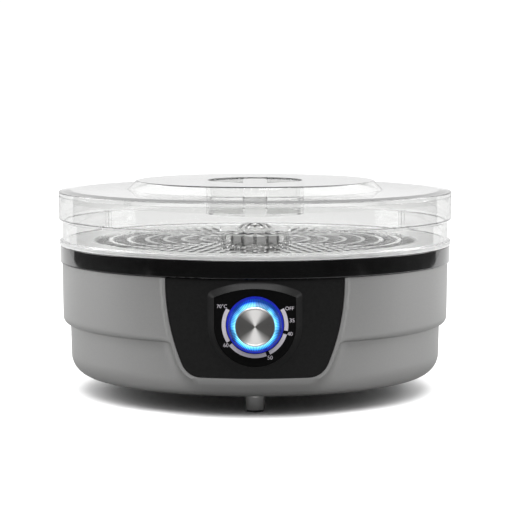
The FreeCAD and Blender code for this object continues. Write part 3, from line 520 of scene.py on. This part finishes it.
def blue_light():
    """Deep blue diffused light of the ring and the lamps, a little uneven as light guides are."""
    material, shader = finish("blue_light", (0.005, 0.01, 0.12), 0.4, Emission_Strength=0.8)
    shader.inputs["Emission Color"].default_value = (0.0, 0.008, 0.4, 1)
    between(material, noise(material, 220, 2), 0.6, 1.0, shader.inputs["Emission Strength"])
    return material


def rubber():
    """Matt black rubber with a dusty grain."""
    material, shader = finish("rubber", grey(0.02), 0.8)
    tinted(material, shader, noise(material, 700), grey(0.015), grey(0.035))
    bumped(material, shader, noise(material, 1500), 0.05, 0.6)
    return material


def metal(slot, dark, light, rough):
    """Plain machined or plated metal with faint drawing marks."""
    material, shader = finish(slot, light, rough, Metallic=1.0)
    tinted(material, shader, noise(material, 260, 3, (1, 1, 6)), dark, light)
    between(material, noise(material, 420), rough - 0.07, rough + 0.09, shader.inputs["Roughness"])
    bumped(material, shader, noise(material, 1500, 2, (1, 1, 8)), 0.01, 0.3)
    return material


def coil_tape():
    """Yellow polyester tape wound over the motor's coil, with its overlaps showing."""
    material, shader = finish("coil_tape", (0.6, 0.38, 0.06), 0.35)
    tinted(material, shader, noise(material, 240, 2, (1, 1, 9)), (0.48, 0.28, 0.04), (0.68, 0.46, 0.1))
    bumped(material, shader, noise(material, 300, 2, (1, 1, 12)), 0.1, 0.4)
    return material


def mica():
    """Layered mica board, silvery brown and flaky."""
    material, shader = finish("mica", (0.45, 0.38, 0.26), 0.45)
    tinted(material, shader, noise(material, 350, 6), (0.32, 0.26, 0.17), (0.6, 0.53, 0.4))
    bumped(material, shader, noise(material, 500, 5), 0.05, 0.5)
    return material


def board_green():
    """Green solder mask over a woven glass board."""
    material, shader = finish("board_green", (0.01, 0.12, 0.04), 0.3)
    tinted(material, shader, noise(material, 500), (0.008, 0.09, 0.03), (0.02, 0.16, 0.06))
    bumped(material, shader, noise(material, 2000, 2), 0.02, 0.3)
    return material


def print_white():
    """Light grey ink of the scale and its numbers, with the slight mottle of pad printing."""
    material, shader = finish("dial_print", grey(0.48), 0.5)
    tinted(material, shader, noise(material, 1500), (0.42, 0.40, 0.43), (0.54, 0.51, 0.54))
    return material


FINISHES = {
    "silver_plastic": silver_plastic(),
    "dark_plastic": dark_plastic(),
    "gloss_black": gloss_black(),
    "satin_black": satin_black(),
    "clear_plastic": clear_plastic("clear_plastic", 0.0),
    "lit_plastic": lit_plastic(),
    "blue_light": blue_light(),
    "spun_aluminium": spun_aluminium(),
    "rubber": rubber(),
    "steel": metal("steel", (0.5, 0.49, 0.48), (0.66, 0.65, 0.64), 0.3),
    "core_steel": metal("core_steel", (0.2, 0.2, 0.21), (0.34, 0.34, 0.35), 0.42),
    "coil_tape": coil_tape(),
    "bronze": metal("bronze", (0.42, 0.26, 0.12), (0.58, 0.38, 0.18), 0.35),
    "mica": mica(),
    "board_green": board_green(),
}
PRINT = print_white()
for row in frame["record"]["subparts"]:
    mesh = NODES[row["node"]].data
    mesh.materials.clear()
    mesh.materials.append(FINISHES[row["material_slot"]])
NODES["tray_rim"].data.materials[0] = clear_plastic("matt_footed_plastic", 0.3)
NODES["dial_face"].data.materials[0] = dial_black()
NODES["outlet_grille"].data.materials[0] = FINISHES["silver_plastic"]


# ---------------------------------------------------------------- detailed shells

def housing():
    """The painted shell: a step round it, and at the front a raised lip that flares out of the lower part."""
    section = [(PLATE_RADIUS, HOUSING_LOW), (LOWER_RADIUS - 0.6 - BOTTOM_ROUND, HOUSING_LOW)]
    for step in range(1, 9):
        turn = math.pi / 2 * step / 8
        section.append((LOWER_RADIUS - 0.6 - BOTTOM_ROUND * (1 - math.sin(turn)),
                        HOUSING_LOW + BOTTOM_ROUND * (1 - math.cos(turn))))
    rise = section[-1][1]
    rows = int((STEP_LOW - rise) / 1.3)
    section += [(LOWER_RADIUS - 0.6 * (1 - n / rows), rise + (STEP_LOW - rise) * n / rows) for n in range(1, rows + 1)]
    slope = [(LOWER_RADIUS, STEP_LOW), (UPPER_RADIUS - 0.6, STEP_LOW + 0.4, STEP_ROUND), (UPPER_RADIUS, HOUSING_TOP)]
    section += rounded(slope + [(LOWER_RADIUS, HOUSING_TOP)], 7)[1:-2]
    rise = section[-1][1]
    rows = int((HOUSING_TOP - rise) / 1.3)
    section += [(UPPER_RADIUS - 0.5 * (1 - n / rows), rise + (HOUSING_TOP - rise) * n / rows)
                for n in range(1, rows + 1)]
    section = np.array(section)
    fine = np.arange(-36, 36, 0.45)
    coarse = np.linspace(36, 324, 116, endpoint=False)
    turns = np.radians(np.concatenate([fine, coarse]))
    count = len(section)
    turn_grid = np.repeat(turns, count)
    radius = np.tile(section[:, 0], len(turns))
    height = np.tile(section[:, 1], len(turns))
    near = (np.cos(turn_grid) > 0.78) & (height > PANEL_LOW - 20)
    flat = np.stack([LIP_RADIUS * np.sin(turn_grid), height], 1)
    outline = panel_outline(0)
    spots = flat[near]
    snapped = snap(spots, outline, (0.0, LIP_WIDE), 1.28)
    distance = np.full(len(flat), 1e3)
    distance[near] = from_outline(spots, outline)[0]
    flat[near] = spots
    top_row = np.tile(np.arange(count) == count - 1, len(turns))
    flat[top_row, 1] = HOUSING_TOP
    on_line = np.zeros(len(flat), bool)
    on_line[near] = snapped
    turn_grid[near] = np.arcsin(flat[near, 0] / LIP_RADIUS)
    height = flat[:, 1]
    beyond = np.clip((distance - LIP_WIDE) / LIP_FLARE, 0, 1)
    fade = (1 - beyond) ** 2.6
    step_share = np.clip((height - STEP_LOW) / (STEP_HIGH - STEP_LOW), 0, 1)
    short = np.clip(1 - (distance - LIP_WIDE) / 0.8, 0, 1)
    fade = fade * (1 - step_share) + short * step_share
    front = radius + (LIP_RADIUS - radius) * np.where(distance < 900, fade, 0)
    edge = (np.abs(distance) < 1e-3) | (np.abs(distance - LIP_WIDE) < 1e-3)
    front[edge & (distance < 1)] -= 0.15
    back = np.minimum(radius, front) - WALL
    columns = len(turns)
    quads = []
    for column in range(columns):
        following = (column + 1) % columns
        for row in range(count - 1):
            quads.append((column * count + row, following * count + row,
                          following * count + row + 1, column * count + row + 1))
    faces = trimmed(quads, distance > -1e-3, on_line)

    def placed(radii, heights):
        return np.stack([radii * np.sin(turn_grid), -radii * np.cos(turn_grid), heights], 1)

    inner_height = np.maximum(height, HOUSING_LOW + WALL * (radius > PLATE_RADIUS + 0.01))
    outer, inner, faces = used_only(placed(front, height), placed(back, inner_height), faces)
    return piece("housing_shell", np.concatenate([outer, inner]), two_sheets(outer, inner, faces),
                 "base", "silver_plastic", ("lower_housing",), 40)


def panel():
    """Satin panel following the housing's curve, with a soft bezel that rises to the dial's flat rim."""
    cell = 1.05
    across = np.arange(-73.5, 73.6, cell)
    rows = int((PANEL_TOP - PANEL_LOW + 1) / cell)
    up = np.linspace(PANEL_LOW - 1, PANEL_TOP, rows)
    flat = np.stack(np.meshgrid(across, up, indexing="ij"), 2).reshape(-1, 2)
    shield = shield_outline(0)
    edge = panel_outline(-0.2)
    top_row = flat[:, 1] > PANEL_TOP - 0.01
    on_bezel = snap(flat, shield, (0.0, BEZEL_WIDE), cell)
    on_edge = snap(flat, edge, (0.0,), cell)
    flat[top_row, 1] = PANEL_TOP
    from_shield = from_outline(flat, shield)[0]
    from_edge = from_outline(flat, edge)[0]
    curve = np.sqrt(PANEL_RADIUS ** 2 - flat[:, 0] ** 2)
    share = np.clip(from_shield / BEZEL_WIDE, 0, 1)
    rise = np.where(share < 1, (1 - share) ** 1.15, 0)
    depth = curve + (BEZEL_FRONT - curve) * rise
    columns, count = len(across), len(up)
    quads = [(c * count + r, (c + 1) * count + r, (c + 1) * count + r + 1, c * count + r + 1)
             for c in range(columns - 1) for r in range(count - 1)]
    faces = trimmed(quads, (from_shield > -1e-3) & (from_edge < 1e-3), on_bezel | on_edge)
    front = np.stack([flat[:, 0], -depth, flat[:, 1]], 1)
    back = np.stack([flat[:, 0], -np.minimum(curve, depth) + PANEL_THICK, flat[:, 1]], 1)
    front, back, faces = used_only(front, back, faces)
    return piece("panel_shell", np.concatenate([front, back]), two_sheets(front, back, faces),
                 "base", "satin_black", ("front_panel",), 28)


def knob():
    """The ribbed clear ring of the knob, with the hollow that the spun cap is let into."""
    def ribbed(radius, height, turn):
        if radius < CAP_RADIUS + 1:
            return radius
        return radius - 0.28 * (0.5 + 0.5 * math.cos(KNOB_RIBS * turn))

    section = rounded([
        (12.5, KNOB_BACK), (KNOB_RADIUS, KNOB_BACK, 0.4), (KNOB_RADIUS, KNOB_BACK + 3, 1.2),
        (KNOB_RADIUS - 2, KNOB_FRONT - 2.3, 2.0), (CAP_RADIUS + 0.7, KNOB_FRONT, 0.5),
        (CAP_RADIUS + 0.1, KNOB_FRONT), (CAP_RADIUS + 0.1, KNOB_FRONT - 1.4), (3.1, KNOB_FRONT - 1.4),
        (3.1, KNOB_BACK + 4.5), (12.5, KNOB_BACK + 4.5)], 4)
    points, faces = turned(section, KNOB_RIBS * 4, ribbed)
    piece("knob_ring", on_knob(points), faces, "knob", "lit_plastic", ("knob_skirt",), 60)


def printed(name, points, faces, depth=0.06):
    """A thin raised print on the dial from flat points (x, z) in millimetres."""
    flat = np.array(points)
    front = np.stack([flat[:, 0], np.full(len(flat), -FACE_FRONT - depth), flat[:, 1]], 1)
    back = front + np.array([0, depth - 0.005, 0])
    thing = piece(name, np.concatenate([front, back]), two_sheets(front, back, faces), "base", "gloss_black")
    thing.data.materials[0] = PRINT
    return thing


def dial_scale():
    """The scale round the knob, in four lengths that end at the numbered settings."""
    inner, outer = 22.6, 25.6
    for number, (first, last) in enumerate(((30.6, -10.3), (-16.9, -62.8), (-69.3, -141.3), (-147.8, -210.3))):
        steps = max(4, int((first - last) / 3))
        angles = [math.radians(first + (last - first) * n / steps) for n in range(steps + 1)]
        points = [(radius * math.cos(a), DIAL_HEIGHT + radius * math.sin(a)) for a in angles for radius in (inner, outer)]
        faces = [(2 * n, 2 * n + 2, 2 * n + 3, 2 * n + 1) for n in range(steps)]
        printed("scale_arc_%d" % number, points, faces)


def dial_numbers():
    """The settings, lettered in a plain sans face."""
    for text, across, height in (("OFF", 26.5, 87.8), ("35", 28.5, 78.5), ("40", 26.9, 68.1), ("50", 11.5, 49.7),
                                 ("60", -22.3, 59.3), ("70°C", -25.4, 89.4)):
        curve = bpy.data.curves.new("setting_" + text[:2], "FONT")
        curve.body = text
        curve.size = (4.2 if text.isdigit() else 3.9) * MM
        curve.extrude = 0.03 * MM
        curve.align_x = "CENTER"
        curve.align_y = "CENTER"
        lettering = bpy.data.objects.new("lettering", curve)
        mesh = bpy.data.meshes.new_from_object(lettering)
        bpy.data.objects.remove(lettering)
        for vertex in mesh.vertices:
            x, y, z = vertex.co
            vertex.co = (x + across * MM, -(FACE_FRONT + 0.035) * MM - z, y + height * MM)
        thing = dress("number_" + text[:2], mesh, "base", "gloss_black")
        thing.data.materials[0] = PRINT


housing()
panel()
knob()
dial_scale()
dial_numbers()


# ---------------------------------------------------------------- studio

def floor():
    """A pale seamless table, wide enough to fill the view and to show in the body's low reflections."""
    half, near, far = 1.04, -0.62, 6.0
    mesh = bpy.data.meshes.new("floor")
    mesh.from_pydata([(-half, near, 0), (half, near, 0), (half, far, 0), (-half, far, 0)], [], [(0, 1, 2, 3)])
    thing = bpy.data.objects.new("floor", mesh)
    bpy.context.scene.collection.objects.link(thing)
    material, shader = finish("floor", grey(0.93), 0.9, Specular_IOR_Level=0.0)
    tree = material.node_tree
    place = tree.nodes.new("ShaderNodeTexCoord")
    parts = tree.nodes.new("ShaderNodeSeparateXYZ")
    link(material, place.outputs["Object"], parts.inputs[0])
    bounce = node(material, "ShaderNodeMapRange", From_Min=0.2, From_Max=0.6, To_Min=0.32, To_Max=0.6)
    link(material, parts.outputs["Y"], bounce.inputs["Value"])
    ray = tree.nodes.new("ShaderNodeLightPath")
    shade = tree.nodes.new("ShaderNodeMix")
    link(material, ray.outputs["Is Camera Ray"], shade.inputs["Factor"])
    link(material, bounce.outputs["Result"], shade.inputs["A"])
    shade.inputs["B"].default_value = 0.93
    link(material, shade.outputs["Result"], shader.inputs["Base Color"])
    thing.data.materials.append(material)


def softbox(name, place, aim, width, height, power):
    """A rectangular area light pointed at a spot."""
    light = bpy.data.lights.new(name, "AREA")
    light.shape = "RECTANGLE"
    light.size = width
    light.size_y = height
    light.energy = power
    thing = bpy.data.objects.new(name, light)
    thing.location = place
    bpy.context.scene.collection.objects.link(thing)
    way = np.array(aim) - np.array(place)
    thing.rotation_euler = (math.acos(-way[2] / np.linalg.norm(way)), 0, math.atan2(way[1], way[0]) - math.pi / 2)


def surroundings():
    """White to the eye; for light and reflections bright above, behind and at the sides, and dark in front."""
    world = bpy.data.worlds.new("studio")
    bpy.context.scene.world = world
    world.use_nodes = True
    tree = world.node_tree
    tree.nodes.clear()
    place = tree.nodes.new("ShaderNodeTexCoord")
    parts = tree.nodes.new("ShaderNodeSeparateXYZ")
    tree.links.new(place.outputs["Generated"], parts.inputs[0])
    depth = tree.nodes.new("ShaderNodeMapRange")
    depth.inputs["From Min"].default_value = -0.65
    depth.inputs["From Max"].default_value = 0.45
    depth.inputs["To Min"].default_value = 0.1
    depth.inputs["To Max"].default_value = 0.96
    depth.interpolation_type = "SMOOTHSTEP"
    tree.links.new(parts.outputs["Y"], depth.inputs["Value"])
    top = tree.nodes.new("ShaderNodeMapRange")
    top.inputs["From Min"].default_value = 0.25
    top.inputs["From Max"].default_value = 0.8
    top.inputs["To Min"].default_value = 0.0
    top.inputs["To Max"].default_value = 1.2
    tree.links.new(parts.outputs["Z"], top.inputs["Value"])
    total = tree.nodes.new("ShaderNodeMath")
    total.operation = "ADD"
    tree.links.new(depth.outputs[0], total.inputs[0])
    tree.links.new(top.outputs[0], total.inputs[1])
    low = tree.nodes.new("ShaderNodeMapRange")
    low.inputs["From Min"].default_value = -0.06
    low.inputs["From Max"].default_value = 0.03
    low.inputs["To Min"].default_value = 0.12
    low.inputs["To Max"].default_value = 1.0
    tree.links.new(parts.outputs["Z"], low.inputs["Value"])
    behind = tree.nodes.new("ShaderNodeMath")
    behind.operation = "GREATER_THAN"
    behind.inputs[1].default_value = 0.66
    tree.links.new(parts.outputs["Y"], behind.inputs[0])
    shown = tree.nodes.new("ShaderNodeMath")
    shown.operation = "MAXIMUM"
    tree.links.new(low.outputs[0], shown.inputs[0])
    tree.links.new(behind.outputs[0], shown.inputs[1])
    level = tree.nodes.new("ShaderNodeMath")
    level.operation = "MULTIPLY"
    tree.links.new(total.outputs[0], level.inputs[0])
    tree.links.new(shown.outputs[0], level.inputs[1])
    lit = tree.nodes.new("ShaderNodeBackground")
    lit.inputs["Color"].default_value = (1, 1, 1, 1)
    tree.links.new(level.outputs[0], lit.inputs["Strength"])
    seen = tree.nodes.new("ShaderNodeBackground")
    seen.inputs["Color"].default_value = (1, 1, 1, 1)
    seen.inputs["Strength"].default_value = 1.05
    through = tree.nodes.new("ShaderNodeBackground")
    through.inputs["Color"].default_value = (1, 1, 1, 1)
    ray = tree.nodes.new("ShaderNodeLightPath")
    share = tree.nodes.new("ShaderNodeMath")
    share.operation = "MULTIPLY"
    share.inputs[1].default_value = 0.28
    tree.links.new(ray.outputs["Is Transmission Ray"], share.inputs[0])
    clear = tree.nodes.new("ShaderNodeMixShader")
    tree.links.new(share.outputs[0], clear.inputs[0])
    tree.links.new(lit.outputs[0], clear.inputs[1])
    tree.links.new(through.outputs[0], clear.inputs[2])
    mix = tree.nodes.new("ShaderNodeMixShader")
    tree.links.new(ray.outputs["Is Camera Ray"], mix.inputs[0])
    tree.links.new(clear.outputs[0], mix.inputs[1])
    tree.links.new(seen.outputs[0], mix.inputs[2])
    out = tree.nodes.new("ShaderNodeOutputWorld")
    tree.links.new(mix.outputs[0], out.inputs["Surface"])


def camera():
    """Straight in front of the panel, a little above the lid and looking slightly down."""
    eye = bpy.data.cameras.new("camera")
    eye.lens = 145.1
    eye.sensor_width = 36.0
    eye.clip_start = 0.05
    thing = bpy.data.objects.new("camera", eye)
    thing.location = (0, -1.730, 0.2757)
    thing.rotation_euler = (math.radians(90 - 5.35), 0, 0)
    bpy.context.scene.collection.objects.link(thing)
    bpy.context.scene.camera = thing


floor()
softbox("overhead", (0, -1.0, 1.5), (0, 0, 0.1), 1.6, 1.0, 34)
softbox("left_side", (-1.3, 0.25, 0.6), (0, 0, 0.08), 0.8, 0.9, 7.5)
softbox("right_side", (1.3, 0.25, 0.6), (0, 0, 0.08), 0.8, 0.9, 7.5)
surroundings()
camera()
bpy.context.scene.view_settings.view_transform = "Standard"
